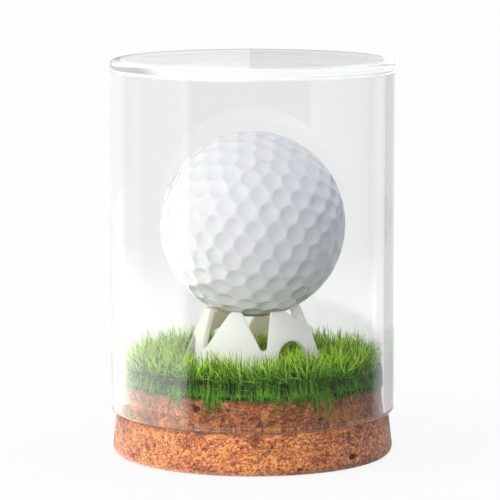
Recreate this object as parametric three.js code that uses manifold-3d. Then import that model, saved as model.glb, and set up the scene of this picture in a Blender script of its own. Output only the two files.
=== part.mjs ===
// Golf ball display case: a glass dome over a cork base, with a small lawn, a stand and a ball inside.
// Millimetres, +Z up. The origin is the centre of the cork's underside. The front faces -Y.

import * as THREE from 'three';
import { mergeVertices } from 'three/addons/utils/BufferGeometryUtils.js';
import Module from 'manifold-3d';

const wasm = await Module();
wasm.setup();

// Clearances
const seatGap = 0.3; // between two pieces that seat on each other
const cutOverrun = 1; // how far a cutter runs past what it cuts
const weldDistance = 0.0001; // vertices nearer than this are one vertex

// Roundness of the turned pieces
const turnSegments = 60;
const arcStep = THREE.MathUtils.degToRad(30);
const cutterSegments = 10;

// Golf ball: a solid core in a cover of two half shells
const ballDiameter = 42.67;
const coverThickness = 1.8;
const dimpleDepth = 0.25;
const dimpleLand = 0.35; // flat left between two dimples
const latticeAlong = 5; // lattice steps from one five-sided dimple to the next
const latticeAcross = 1;
const patternTurns = new THREE.Vector3(-1.821, 0.773, 0.936); // radians about X, then Y, then Z
const coreDetail = 4;

// Glass dome, sized by the room that it leaves round the ball
const ballSideRoom = 9.05;
const ballHeadroom = 14.6;
const domeWall = 2.4;
const domeTopThickness = 2;
const domeShoulderRadius = 1.5;
const domeCeilingRadius = 1;

// Cork base: a flange that carries the glass, and a plug that goes into it
const flangeHeight = 9.7;
const flangeFootRadius = 32.3;
const flangeTaper = 0.8; // radius lost from foot to ledge
const flangeFootRound = 2;
const flangeLedgeRound = 0.8;
const plugHeight = 7.3;
const plugTaper = 0.4;
const plugChamfer = 0.5;

// Artificial lawn: a coated backing, a tufted cloth and its blades
const turfSideRoom = 1.4; // from the lawn's edge to the glass
const backingThickness = 0.7;
const clothThickness = 0.8;
const pileHeight = 6.4;
const pileHeightSpread = 0.7;
const pileSeed = 7;
const strandCount = 430; // places in the whole disc, before the stand's ring is left free
const strandRadius = 0.46; // from a blade's middle to its corners, at the root
const strandRoot = 0.4; // depth of the root in the cloth
const strandRoom = 0.5; // from a blade to the stand and to the cloth's edge
const pileLean = 1.2; // how far the blades lean, all alike over a few blades
const pileSway = 0.3; // and each one by itself
const leanWave = 22; // distance over which the lean turns
const kneeShare = 0.55; // height of a blade's bend
const kneeLeanShare = 0.35; // lean reached at the bend
const kneeWidthShare = 0.8; // width left at the bend

// Ball stand: a flared ring with a pointed end in front, another behind, and two sides on arches
const standHeight = 15.6;
const standTopRadius = 11;
const standFlare = THREE.MathUtils.degToRad(23);
const standWall = 1.9;
const standLand = 0.7; // flat rim outside the ball's seat
const frontPoint = THREE.MathUtils.degToRad(-20); // azimuth of the front's point, towards +X
const endNotchTurn = THREE.MathUtils.degToRad(24.5); // from a point to the deep notch on either side
const endNotchWidth = 6.5;
const endNotchDepth = 8.5;
const endNotchSkew = 1.4; // how far its root lies off its middle, away from the point
const sideNotchTurn = THREE.MathUtils.degToRad(77); // from a point to the shallow notch in a side
const sideNotchWidth = 5.2;
const sideNotchDepth = 2.2;
const notchRootRadius = 0.8;
const archTurns = [60, 120].map(THREE.MathUtils.degToRad); // from a point to the arches in a side
const archWidth = 9;
const archHeight = 9;

// Heights, from the cork up
const corkTop = flangeHeight + plugHeight;
const clothBottom = corkTop + backingThickness;
const clothTop = clothBottom + clothThickness;
const standTop = clothTop + standHeight;
const ballRadius = ballDiameter / 2;
const seatRadius = standTopRadius - standLand;
const ballCentre = standTop + Math.sqrt((ballRadius + seatGap) ** 2 - seatRadius ** 2);
const ceiling = ballCentre + ballRadius + ballHeadroom;
const domeTop = ceiling + domeTopThickness;
const domeRim = flangeHeight + seatGap;

// Radii, from the ball out
const domeInnerRadius = ballRadius + ballSideRoom;
const domeOuterRadius = domeInnerRadius + domeWall;
const plugRadius = domeInnerRadius - seatGap;
const turfRadius = domeInnerRadius - turfSideRoom;
const standSlope = Math.tan(standFlare);
const standFootRadius = standTopRadius + standHeight * standSlope;

// A small seeded generator, so that the blades come out alike each time
function seededRandom(seed) {
	const factor = 16807;
	const period = 2 ** 31 - 1;
	let state = seed;
	return () => {
		state = (state * factor) % period;
		return state / period;
	};
}

// A closed solid for cutting and joining, from any closed three.js geometry
function solidOf(geometry) {
	const bare = geometry.clone();
	bare.deleteAttribute('normal');
	bare.deleteAttribute('uv');
	const merged = mergeVertices(bare, weldDistance);
	const corners = merged.index.array;
	const kept = [];
	for (let i = 0; i < corners.length; i += 3) {
		const [a, b, c] = corners.slice(i, i + 3);
		if (a !== b && b !== c && c !== a) kept.push(a, b, c);
	}
	const vertProperties = new Float32Array(merged.attributes.position.array);
	const triVerts = new Uint32Array(kept);
	return new wasm.Manifold(new wasm.Mesh({ numProp: 3, vertProperties, triVerts }));
}

function geometryOf(solid) {
	const mesh = solid.getMesh();
	const geometry = new THREE.BufferGeometry();
	geometry.setAttribute('position', new THREE.BufferAttribute(mesh.vertProperties, 3));
	geometry.setIndex(new THREE.BufferAttribute(mesh.triVerts, 1));
	geometry.computeVertexNormals();
	return geometry;
}

// Turns an outline of radius and height about the Z axis
function turned(outline) {
	return new THREE.LatheGeometry(outline, turnSegments).rotateX(Math.PI / 2);
}

// Points of an arc in an outline, from one angle to another
function arc(radius, height, size, from, to) {
	const points = [];
	const steps = Math.ceil(Math.abs(to - from) / arcStep);
	for (let step = 0; step <= steps; step++) {
		const angle = from + ((to - from) * step) / steps;
		points.push(new THREE.Vector2(radius + size * Math.cos(angle), height + size * Math.sin(angle)));
	}
	return points;
}

// An outline in the XZ plane, drawn out from the axis towards the front between two radii
function drawnOut(shape, inner, outer) {
	const settings = { depth: outer - inner, bevelEnabled: false, curveSegments: cutterSegments };
	return new THREE.ExtrudeGeometry(shape, settings).translate(0, 0, inner).rotateX(Math.PI / 2);
}

// Glass dome: straight wall, rounded rim and shoulder, flat top
function domeGeometry() {
	const rimRadius = domeWall / 2;
	const rimMiddle = domeInnerRadius + rimRadius;
	const shoulder = domeOuterRadius - domeShoulderRadius;
	const corner = domeInnerRadius - domeCeilingRadius;
	const outline = [
		new THREE.Vector2(0, ceiling),
		...arc(corner, ceiling - domeCeilingRadius, domeCeilingRadius, Math.PI / 2, 0),
		...arc(rimMiddle, domeRim + rimRadius, rimRadius, Math.PI, 2 * Math.PI),
		...arc(shoulder, domeTop - domeShoulderRadius, domeShoulderRadius, 0, Math.PI / 2),
		new THREE.Vector2(0, domeTop),
	];
	return turned(outline);
}

// Cork base: tapered flange with a soft foot and ledge, then the plug
function corkGeometry() {
	const ledgeRadius = flangeFootRadius - flangeTaper;
	const plugTopRadius = plugRadius - plugTaper;
	const outline = [
		new THREE.Vector2(0, 0),
		...arc(flangeFootRadius - flangeFootRound, flangeFootRound, flangeFootRound, -Math.PI / 2, 0),
		...arc(ledgeRadius - flangeLedgeRound, flangeHeight - flangeLedgeRound, flangeLedgeRound, 0, Math.PI / 2),
		new THREE.Vector2(plugRadius, flangeHeight),
		new THREE.Vector2(plugTopRadius, corkTop - plugChamfer),
		new THREE.Vector2(plugTopRadius - plugChamfer, corkTop),
		new THREE.Vector2(0, corkTop),
	];
	return turned(outline);
}

// A plain disc between two heights
function discGeometry(radius, bottom, top) {
	const outline = [
		new THREE.Vector2(0, bottom),
		new THREE.Vector2(radius, bottom),
		new THREE.Vector2(radius, top),
		new THREE.Vector2(0, top),
	];
	return turned(outline);
}

// One blade: three sides, a bend and a point, from its root to its leaning tip
function strandSolid(root, lean, height, turn) {
	const knee = new THREE.Vector3(lean.x * kneeLeanShare, lean.y * kneeLeanShare, height * kneeShare).add(root);
	const tip = new THREE.Vector3(lean.x, lean.y, height).add(root);
	const foot = new THREE.Vector3(0, 0, -strandRoot).add(root);
	const positions = [];
	for (const [middle, size] of [[foot, strandRadius], [knee, strandRadius * kneeWidthShare]]) {
		for (let side = 0; side < 3; side++) {
			const angle = turn + (side * 2 * Math.PI) / 3;
			positions.push(middle.x + size * Math.cos(angle), middle.y + size * Math.sin(angle), middle.z);
		}
	}
	positions.push(tip.x, tip.y, tip.z);
	const triangles = [0, 2, 1];
	for (let side = 0; side < 3; side++) {
		const next = (side + 1) % 3;
		triangles.push(side, next, next + 3, side, next + 3, side + 3);
		triangles.push(side + 3, next + 3, 6);
	}
	const vertProperties = new Float32Array(positions);
	const triVerts = new Uint32Array(triangles);
	return new wasm.Manifold(new wasm.Mesh({ numProp: 3, vertProperties, triVerts }));
}

// The lean that neighbouring blades share, so that no two of them cross
function commonLean(x, y) {
	const turn = (2 * Math.PI) / leanWave;
	return new THREE.Vector2(
		pileLean * Math.sin(y * turn + x / leanWave),
		pileLean * Math.cos(x * turn - y / leanWave),
	);
}

// Blades on a sunflower pattern, with a free ring for the stand and drawn in under its flare
function turfPileGeometry() {
	const random = seededRandom(pileSeed);
	const goldenAngle = Math.PI * (3 - Math.sqrt(5));
	const edge = turfRadius - strandRadius;
	const insideFoot = standFootRadius - standWall - strandRadius - strandRoom;
	const outsideFoot = standFootRadius + strandRadius + strandRoom;
	const drawIn = (pileHeight + pileHeightSpread) * standSlope;
	const solids = [solidOf(discGeometry(turfRadius, clothBottom, clothTop))];
	for (let place = 0; place < strandCount; place++) {
		const radius = edge * Math.sqrt((place + 0.5) / strandCount);
		const angle = place * goldenAngle;
		const height = pileHeight + pileHeightSpread * (2 * random() - 1);
		const sway = new THREE.Vector2(2 * random() - 1, 2 * random() - 1).multiplyScalar(pileSway);
		const turn = 2 * Math.PI * random();
		if (radius > insideFoot && radius < outsideFoot) continue;
		const root = new THREE.Vector3(radius * Math.cos(angle), radius * Math.sin(angle), clothTop);
		const lean = commonLean(root.x, root.y).add(sway);
		const outward = new THREE.Vector2(Math.cos(angle), Math.sin(angle));
		if (radius < insideFoot) {
			lean.multiplyScalar(1 - radius / insideFoot);
			lean.addScaledVector(outward, (-drawIn * radius) / insideFoot);
		} else {
			const reach = Math.min(turfSideRoom / 2, lean.dot(outward));
			lean.addScaledVector(outward, Math.max(reach, 0) - lean.dot(outward));
		}
		solids.push(strandSolid(root, lean, height, turn));
	}
	return geometryOf(wasm.Manifold.union(solids));
}

// A V with a round root, which may lie off its middle
function notchShape(width, depth, skew) {
	const halfWidth = width / 2;
	const rootHeight = standTop - depth + notchRootRadius;
	const rise = standTop - rootHeight;
	// Where the side that comes down from a corner of the V meets the root, as an angle round the root
	const meeting = (corner, turn) => {
		const slant = Math.hypot(corner - skew, rise);
		return Math.atan2(rise, corner - skew) + turn * Math.acos(notchRootRadius / slant);
	};
	const from = meeting(halfWidth, -1);
	const to = meeting(-halfWidth, 1) - 2 * Math.PI;
	const shape = new THREE.Shape();
	shape.moveTo(halfWidth, standTop + cutOverrun);
	shape.lineTo(halfWidth, standTop);
	shape.absarc(skew, rootHeight, notchRootRadius, from, to, true);
	shape.lineTo(-halfWidth, standTop);
	shape.lineTo(-halfWidth, standTop + cutOverrun);
	return shape;
}

// The round-topped arch in a side
function archShape() {
	const halfWidth = archWidth / 2;
	const spring = clothTop + archHeight - halfWidth;
	const shape = new THREE.Shape();
	shape.moveTo(halfWidth, clothTop - cutOverrun);
	shape.lineTo(halfWidth, spring);
	shape.absarc(0, spring, halfWidth, 0, Math.PI, false);
	shape.lineTo(-halfWidth, clothTop - cutOverrun);
	return shape;
}

// The seat in the stand's top edge follows the ball down to the inside of the flared wall
function seatOutline() {
	const size = ballRadius + seatGap;
	const rise = ballCentre - standTop;
	const wallRadius = standTopRadius - standWall;
	const squared = 1 + standSlope ** 2;
	const half = wallRadius * standSlope + rise;
	const depth = (Math.sqrt(half ** 2 - squared * (wallRadius ** 2 + rise ** 2 - size ** 2)) - half) / squared;
	const from = Math.atan2(-rise, seatRadius);
	const to = Math.atan2(-rise - depth, wallRadius + depth * standSlope);
	const stepShares = [0, 0.5, 1];
	return stepShares.map((share) => {
		const angle = from + (to - from) * share;
		return new THREE.Vector2(size * Math.cos(angle), ballCentre + size * Math.sin(angle));
	});
}

// Ball stand: flared ring with a ball seat. Its back half is its front half turned half round
function standGeometry() {
	const ring = [
		new THREE.Vector2(standFootRadius - standWall, clothTop),
		new THREE.Vector2(standFootRadius, clothTop),
		new THREE.Vector2(standTopRadius, standTop),
		...seatOutline(),
		new THREE.Vector2(standFootRadius - standWall, clothTop),
	];
	const cuts = [
		[notchShape(endNotchWidth, endNotchDepth, endNotchSkew), endNotchTurn],
		[notchShape(endNotchWidth, endNotchDepth, -endNotchSkew), -endNotchTurn],
		[notchShape(sideNotchWidth, sideNotchDepth, 0), sideNotchTurn],
		...archTurns.map((turn) => [archShape(), turn]),
	];
	let stand = solidOf(turned(ring));
	for (const point of [frontPoint, frontPoint + Math.PI]) {
		for (const [shape, turn] of cuts) {
			const cutter = drawnOut(shape, cutOverrun, standFootRadius + cutOverrun);
			stand = stand.subtract(solidOf(cutter.rotateZ(point + turn)));
		}
	}
	return geometryOf(stand);
}

// Dimple centres: a skew triangular lattice laid over the twenty faces of an icosahedron
function dimpleCentres() {
	const corners = new THREE.IcosahedronGeometry(1).attributes.position;
	const faceCount = corners.count / 3;
	const edgeAngle = Math.atan(2);
	const total = latticeAlong ** 2 + latticeAlong * latticeAcross + latticeAcross ** 2;
	const reach = latticeAlong + latticeAcross;
	const centres = [];
	for (let face = 0; face < faceCount; face++) {
		const [a, b, c] = [0, 1, 2].map((i) => new THREE.Vector3().fromBufferAttribute(corners, 3 * face + i));
		for (let i = -reach; i <= reach; i++) {
			for (let j = 0; j <= 2 * reach; j++) {
				const towardsB = (i * reach + j * latticeAcross) / total;
				const towardsC = (j * latticeAlong - i * latticeAcross) / total;
				if (towardsB < 0 || towardsC < 0 || towardsB + towardsC > 1) continue;
				const centre = new THREE.Vector3()
					.addScaledVector(a, Math.sin((1 - towardsB - towardsC) * edgeAngle))
					.addScaledVector(b, Math.sin(towardsB * edgeAngle))
					.addScaledVector(c, Math.sin(towardsC * edgeAngle))
					.normalize();
				if (centres.every((other) => other.distanceTo(centre) > weldDistance)) centres.push(centre);
			}
		}
	}
	return centres;
}

// The dimples that touch one dimple, in order round it
function neighboursOf(centre, centres) {
	const spacing = Math.sqrt((8 * Math.PI) / (Math.sqrt(3) * centres.length));
	const near = centres.filter((other) => other !== centre && other.distanceTo(centre) < Math.SQRT2 * spacing);
	const across = new THREE.Vector3().crossVectors(centre, near[0]).normalize();
	const along = new THREE.Vector3().crossVectors(across, centre);
	const bearing = (other) => Math.atan2(other.dot(across), other.dot(along));
	return near.sort((one, two) => bearing(one) - bearing(two));
}

// The ball's skin: each dimple is a bowl in the middle of its own five or six sided cell
function ballSkinGeometry() {
	const centres = dimpleCentres();
	const triangles = [];
	for (const centre of centres) {
		const near = neighboursOf(centre, centres);
		const bottom = centre.clone().multiplyScalar(ballRadius - dimpleDepth);
		const cell = near.map((other, i) => {
			const next = near[(i + 1) % near.length];
			return centre.clone().add(other).add(next).setLength(ballRadius);
		});
		const rim = cell.map((corner) => {
			const inward = centre.clone().multiplyScalar(ballRadius).sub(corner);
			return corner.clone().addScaledVector(inward.normalize(), dimpleLand / Math.sqrt(3)).setLength(ballRadius);
		});
		cell.forEach((corner, i) => {
			const next = (i + 1) % cell.length;
			triangles.push(bottom, rim[i], rim[next]);
			triangles.push(rim[i], corner, cell[next], rim[i], cell[next], rim[next]);
		});
	}
	const skin = new THREE.BufferGeometry().setFromPoints(triangles);
	return skin.rotateX(patternTurns.x).rotateY(patternTurns.y).rotateZ(patternTurns.z);
}

// Half of the cover: the skin above or below the middle, hollowed for the core
function coverGeometry(upper) {
	const shell = solidOf(ballSkinGeometry());
	const hollow = solidOf(new THREE.IcosahedronGeometry(ballRadius - coverThickness, coreDetail));
	const reach = ballRadius + cutOverrun;
	const half = upper ? discGeometry(reach, 0, reach) : discGeometry(reach, -reach, 0);
	return geometryOf(shell.subtract(hollow).intersect(solidOf(half)));
}

const materials = {
	glass: new THREE.MeshStandardMaterial({
		color: 0xe9eeee,
		roughness: 0.03,
		metalness: 0,
		transparent: true,
		opacity: 0.25,
	}),
	cork: new THREE.MeshStandardMaterial({ color: 0xc98f5c, roughness: 0.85, metalness: 0 }),
	backing: new THREE.MeshStandardMaterial({ color: 0x23301f, roughness: 0.9, metalness: 0 }),
	grass: new THREE.MeshStandardMaterial({ color: 0x5f9e1f, roughness: 0.55, metalness: 0 }),
	stand: new THREE.MeshStandardMaterial({ color: 0xf1eeea, roughness: 0.4, metalness: 0 }),
	cover: new THREE.MeshStandardMaterial({ color: 0xf4f5f6, roughness: 0.25, metalness: 0 }),
	core: new THREE.MeshStandardMaterial({ color: 0x8d9a4a, roughness: 0.8, metalness: 0 }),
};

function addPiece(parent, name, geometry, material) {
	const mesh = new THREE.Mesh(geometry, material);
	mesh.name = name;
	parent.add(mesh);
}

const displayCase = new THREE.Group();
addPiece(displayCase, 'cork_base', corkGeometry(), materials.cork);
addPiece(displayCase, 'turf_backing', discGeometry(turfRadius, corkTop, clothBottom), materials.backing);
addPiece(displayCase, 'turf_pile', turfPileGeometry(), materials.grass);
addPiece(displayCase, 'ball_stand', standGeometry(), materials.stand);
addPiece(displayCase, 'glass_dome', domeGeometry(), materials.glass);

const ball = new THREE.Group();
ball.position.z = ballCentre;
displayCase.add(ball);
const coreRadius = ballRadius - coverThickness - seatGap;
addPiece(ball, 'ball_core', new THREE.IcosahedronGeometry(coreRadius, coreDetail), materials.core);
addPiece(ball, 'ball_cover_lower', coverGeometry(false), materials.cover);
addPiece(ball, 'ball_cover_upper', coverGeometry(true), materials.cover);

export default displayCase;
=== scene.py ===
"""Looks of a golf ball display case: a glass dome on a cork base, over a lawn, a stand and a ball.

Runs in Blender 4.5 once the solids are packed. Metres, +Z up; the front faces -Y.
"""

import math

import bmesh
import bpy
import numpy as np
from bpy.props import FloatProperty, FloatVectorProperty, IntProperty, PointerProperty
from mathutils import Matrix, Vector, noise


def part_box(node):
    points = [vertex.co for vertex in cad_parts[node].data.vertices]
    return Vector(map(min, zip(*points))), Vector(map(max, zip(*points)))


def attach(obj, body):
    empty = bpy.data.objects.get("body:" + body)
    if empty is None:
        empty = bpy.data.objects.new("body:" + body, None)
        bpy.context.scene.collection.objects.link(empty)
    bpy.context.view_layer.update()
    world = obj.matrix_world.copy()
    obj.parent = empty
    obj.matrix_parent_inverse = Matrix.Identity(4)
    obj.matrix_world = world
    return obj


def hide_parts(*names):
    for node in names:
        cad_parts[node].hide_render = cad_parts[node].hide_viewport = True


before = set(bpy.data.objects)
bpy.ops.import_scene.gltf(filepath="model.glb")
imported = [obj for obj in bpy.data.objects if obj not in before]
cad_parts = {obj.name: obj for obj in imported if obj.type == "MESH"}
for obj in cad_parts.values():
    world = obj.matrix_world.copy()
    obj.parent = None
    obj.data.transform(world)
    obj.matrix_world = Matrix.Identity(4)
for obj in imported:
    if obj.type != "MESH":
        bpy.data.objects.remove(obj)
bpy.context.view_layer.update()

bl_info = {
    "name": "Golf Ball Display Case",
    "version": (1, 0, 0),
    "blender": (4, 5, 0),
    "location": "3D View > Sidebar > Display Case",
    "description": "Builds the glass dome, cork base, lawn, stand and ball of a display case",
    "category": "Add Mesh",
}

MM = 0.001

# Places that the pieces share with the solids
DOME_LOW, DOME_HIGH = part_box("glass_dome")
CORK_LOW, CORK_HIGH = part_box("cork_base")
BACKING_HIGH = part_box("turf_backing")[1]
STAND_LOW, STAND_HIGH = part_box("ball_stand")
BALL_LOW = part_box("ball_cover_lower")[0]
BALL_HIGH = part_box("ball_cover_upper")[1]
CLOTH_TOP = BACKING_HIGH.z + 0.8 * MM


def length(name, description, default):
    return FloatProperty(
        name=name, description=description, default=default, min=0.0, precision=5, unit="LENGTH"
    )


def share(name, description, default):
    return FloatProperty(
        name=name, description=description, default=default, min=0.0, max=1.0, subtype="FACTOR"
    )


def turn(name, description, degrees):
    return FloatProperty(name=name, description=description, default=math.radians(degrees), subtype="ANGLE")


def colour(name, description, default):
    return FloatVectorProperty(
        name=name, description=description, default=default, size=3, min=0.0, max=1.0, subtype="COLOR"
    )


def count(name, description, default):
    return IntProperty(name=name, description=description, default=default, min=1)


class DomeSettings(bpy.types.PropertyGroup):
    wall: length("Wall", "Thickness of the straight wall", 2.4 * MM)
    top_thickness: length("Top thickness", "Thickness of the flat top", 2.0 * MM)
    shoulder_radius: length("Shoulder radius", "Outer rounding between wall and top", 1.5 * MM)
    ceiling_radius: length("Ceiling radius", "Inner rounding between wall and top", 1.0 * MM)
    segments: count("Segments", "Facets round the dome", 288)
    tint: colour("Tint", "Colour that the glass gives what is behind it", (0.955, 0.962, 0.958))


class CorkSettings(bpy.types.PropertyGroup):
    ledge_height: length("Ledge height", "Height of the ledge that carries the dome", 9.7 * MM)
    taper: length("Taper", "Radius lost between foot and ledge", 0.8 * MM)
    foot_round: length("Foot rounding", "Rounding of the foot", 2.0 * MM)
    ledge_round: length("Ledge rounding", "Rounding of the ledge", 0.8 * MM)
    plug_gap: length("Plug gap", "Room between plug and glass at the ledge", 0.3 * MM)
    plug_taper: length("Plug taper", "Radius that the plug loses towards its top", 0.4 * MM)
    plug_chamfer: length("Plug chamfer", "Bevel round the top of the plug", 0.5 * MM)
    granule: length("Granule", "Width of a cork granule", 2.3 * MM)
    crack_depth: length("Crack depth", "Depth of the cracks between granules", 0.16 * MM)
    light: colour("Light granules", "Colour of the palest granules", (0.94, 0.36, 0.10))
    middle: colour("Granules", "Colour of most granules", (0.66, 0.17, 0.032))
    dark: colour("Dark granules", "Colour of the darkest granules", (0.20, 0.042, 0.010))
    # Besides the gaps' own colour, this colour paints shade into the sunk cracks, chips and pits
    crack: colour("Cracks", "Colour inside cracks and pits", (0.10, 0.028, 0.012))


class LawnSettings(bpy.types.PropertyGroup):
    height: length("Blade height", "Usual height of a blade", 7.9 * MM)
    width: length("Blade width", "Width of a blade at its foot", 0.5 * MM)
    lean: share("Lean", "How far blades lean, as a share of their height", 0.5)
    density: count("Density", "Tall blades on a square centimetre", 165)
    undergrowth: count("Undergrowth", "Short blades on a square centimetre", 190)
    seed: count("Seed", "Changes the places of the blades", 7)
    tip: colour("Tips", "Colour of the blades' tips", (0.68, 0.98, 0.07))
    stem: colour("Stems", "Colour halfway up a blade", (0.20, 0.53, 0.025))
    # The near-black root colour is painted shade low in the lawn
    root: colour("Roots", "Colour at the foot of a blade", (0.010, 0.05, 0.006))


class StandSettings(bpy.types.PropertyGroup):
    top_radius: length("Top radius", "Outer radius of the ring at its points", 11.0 * MM)
    rounding: length("Rounding", "Size of the rounding along the edges", 0.2 * MM)
    flare: turn("Flare", "Slope of the wall", 23)
    wall: length("Wall", "Thickness of the wall", 1.9 * MM)
    arch_width: length("Arch width", "Width of the openings at the foot", 9.0 * MM)
    plastic: colour("Plastic", "Colour of the moulding", (0.985, 0.96, 0.89))


class BallSettings(bpy.types.PropertyGroup):
    diameter: length("Diameter", "Diameter over the lands", 42.67 * MM)
    cover: length("Cover", "Thickness of the cover", 1.8 * MM)
    dimple_depth: length("Dimple depth", "Depth in the middle of a dimple", 0.44 * MM)
    dimple_radius: length("Dimple radius", "Radius of a dimple's rim", 2.12 * MM)
    shoulder: length("Dimple shoulder", "Softness of a dimple's rim", 0.035 * MM)
    turns: FloatVectorProperty(
        name="Pattern",
        description="Turns of the pattern about X, then Y, then Z",
        default=(-1.821, 0.773, 0.936),
        subtype="EULER",
    )
    paint: colour("Paint", "Colour of the paint", (0.90, 0.905, 0.915))


class StudioSettings(bpy.types.PropertyGroup):
    distance: length("Distance", "From the camera to the case's axis", 776 * MM)
    camera_height: length("Camera height", "Height of the camera above the floor", 149 * MM)
    camera_aside: FloatProperty(
        name="Aside", description="Sideways place of the camera", default=-0.6 * MM, unit="LENGTH"
    )
    pitch: turn("Pitch", "How far the camera looks down", 7.49)
    focal_length: FloatProperty(
        name="Lens", description="Focal length in millimetres", default=244.8, min=1.0
    )
    floor: share("Floor", "Brightness of the floor under even light", 0.15)
    spill: FloatProperty(
        name="Spill", description="Light that the floor's left side sends back", default=1.8, min=0.0
    )


class CaseSettings(bpy.types.PropertyGroup):
    dome: PointerProperty(type=DomeSettings)
    cork: PointerProperty(type=CorkSettings)
    lawn: PointerProperty(type=LawnSettings)
    stand: PointerProperty(type=StandSettings)
    ball: PointerProperty(type=BallSettings)
    studio: PointerProperty(type=StudioSettings)


# Node trees


def fill(tree, socket, value):
    """Links a socket to another one, or gives it a value. A colour may leave out its alpha."""
    if isinstance(value, bpy.types.NodeSocket):
        tree.links.new(value, socket)
    elif socket.type == "RGBA" and len(value) == 3:
        socket.default_value = (*value, 1.0)
    else:
        socket.default_value = value


def put(tree, kind, inputs=None, **settings):
    """A new node with its settings, and its inputs given as values or as sockets to link."""
    made = tree.nodes.new(kind)
    for name, value in settings.items():
        setattr(made, name, value)
    for name, value in (inputs or {}).items():
        fill(tree, made.inputs[name], value)
    return made


def calc(tree, operation, *values):
    return put(tree, "ShaderNodeMath", dict(enumerate(values)), operation=operation).outputs[0]


def vector_calc(tree, operation, *values):
    made = put(tree, "ShaderNodeVectorMath", dict(enumerate(values)), operation=operation)
    return made.outputs["Value" if operation in {"LENGTH", "DOT_PRODUCT"} else "Vector"]


def scaled(tree, vector, factor):
    return put(tree, "ShaderNodeVectorMath", {0: vector, "Scale": factor}, operation="SCALE").outputs[0]


def parts_of(tree, vector):
    return put(tree, "ShaderNodeSeparateXYZ", {0: vector}).outputs


def ranged(tree, value, low, high, to_low=0.0, to_high=1.0):
    inputs = {"Value": value, "From Min": low, "From Max": high, "To Min": to_low, "To Max": to_high}
    return put(tree, "ShaderNodeMapRange", inputs, interpolation_type="SMOOTHSTEP").outputs["Result"]


def ramp(tree, factor, stops):
    """A colour ramp through (place, colour) stops."""
    made = put(tree, "ShaderNodeValToRGB", {"Fac": factor})
    elements = made.color_ramp.elements
    while len(elements) < len(stops):
        elements.new(1.0)
    for element, (place, tone) in zip(elements, stops):
        element.position = place
        element.color = (*tone, 1.0)
    return made.outputs["Color"]


def mixed(tree, factor, first, second):
    """One colour blended into another. A Mix node has its colours at inputs 6 and 7."""
    return put(tree, "ShaderNodeMix", {0: factor, 6: first, 7: second}, data_type="RGBA").outputs[2]


def cloudy(tree, place, scale, detail=2.0, roughness=0.5, output="Fac"):
    inputs = {"Vector": place, "Scale": scale, "Detail": detail, "Roughness": roughness}
    return put(tree, "ShaderNodeTexNoise", inputs).outputs[output]


def object_place(tree, stretch=(1, 1, 1)):
    place = put(tree, "ShaderNodeTexCoord").outputs["Object"]
    return vector_calc(tree, "MULTIPLY", place, stretch)


def attribute(tree, name):
    return put(tree, "ShaderNodeAttribute", attribute_name=name).outputs["Fac"]


def new_material(name, **values):
    """A Principled material with the given constant sockets. Returns it, its tree and its shader."""
    material = bpy.data.materials.new(name)
    material.use_nodes = True
    tree = material.node_tree
    shader = tree.nodes["Principled BSDF"]
    for key, value in values.items():
        shader.inputs[key.replace("_", " ")].default_value = value
    return material, tree, shader


def bump(tree, shader, height, distance, strength=1.0):
    made = put(tree, "ShaderNodeBump", {"Height": height, "Distance": distance, "Strength": strength})
    tree.links.new(made.outputs["Normal"], shader.inputs["Normal"])


def paint(tree, shader, tone):
    tree.links.new(tone, shader.inputs["Base Color"])


# Meshes


def add_piece(mesh, material, body, slot, *nodes):
    """Puts a finished mesh in the scene: it rides on a body and stands for the given nodes."""
    piece = bpy.data.objects.new(mesh.name, mesh)
    bpy.context.scene.collection.objects.link(piece)
    mesh.materials.clear()
    mesh.materials.append(material)
    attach(piece, body)
    if nodes:
        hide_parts(*nodes)
    return piece


def mesh_from(name, points, faces, smooth=True):
    mesh = bpy.data.meshes.new(name)
    mesh.from_pydata(points, [], faces)
    mesh.validate()
    if smooth:
        mesh.shade_smooth()
    return mesh


def evaluated_mesh(name, source):
    """The mesh that an object's modifiers give. The object is removed."""
    depsgraph = bpy.context.evaluated_depsgraph_get()
    final = source.evaluated_get(depsgraph)
    mesh = bpy.data.meshes.new_from_object(final, preserve_all_data_layers=True, depsgraph=depsgraph)
    mesh.name = name
    bpy.data.objects.remove(source)
    return mesh


def arc(radius, height, size, start, end, steps):
    """Points of an arc in an outline of radius and height. Angles in degrees."""
    turns = [math.radians(start + (end - start) * step / steps) for step in range(steps + 1)]
    return [(radius + size * math.cos(a), height + size * math.sin(a)) for a in turns]


def refined(outline, step, inner_radius):
    """The outline with points added so that its stretches outside inner_radius are no longer than step."""
    points = [outline[0]]
    for (r0, z0), (r1, z1) in zip(outline, outline[1:]):
        long = math.hypot(r1 - r0, z1 - z0)
        parts = max(1, math.ceil(long / step)) if min(r0, r1) >= inner_radius else 1
        points += [(r0 + (r1 - r0) * i / parts, z0 + (z1 - z0) * i / parts) for i in range(1, parts + 1)]
    return points


def turned_mesh(name, outline, segments):
    """A closed surface of revolution.

    The outline starts and ends on the axis, with its outside on its right.
    """
    rings = np.array(outline[1:-1])
    angles = np.linspace(0, 2 * math.pi, segments, endpoint=False)
    circle = np.stack([np.sin(angles), -np.cos(angles)], axis=1)
    body = rings[:, None, 0, None] * circle[None]
    heights = np.repeat(rings[:, None, 1, None], segments, axis=1)
    points = np.concatenate([body, heights], axis=2).reshape(-1, 3)
    points = np.vstack([points, (0, 0, outline[0][1]), (0, 0, outline[-1][1])])
    first, last = len(points) - 2, len(points) - 1
    faces = []
    for ring in range(len(rings) - 1):
        low, high = ring * segments, (ring + 1) * segments
        for i in range(segments):
            j = (i + 1) % segments
            faces.append((low + i, low + j, high + j, high + i))
    top = (len(rings) - 1) * segments
    for i in range(segments):
        j = (i + 1) % segments
        faces.append((first, j, i))
        faces.append((last, top + i, top + j))
    return mesh_from(name, points.tolist(), faces)


# Glass dome


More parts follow.
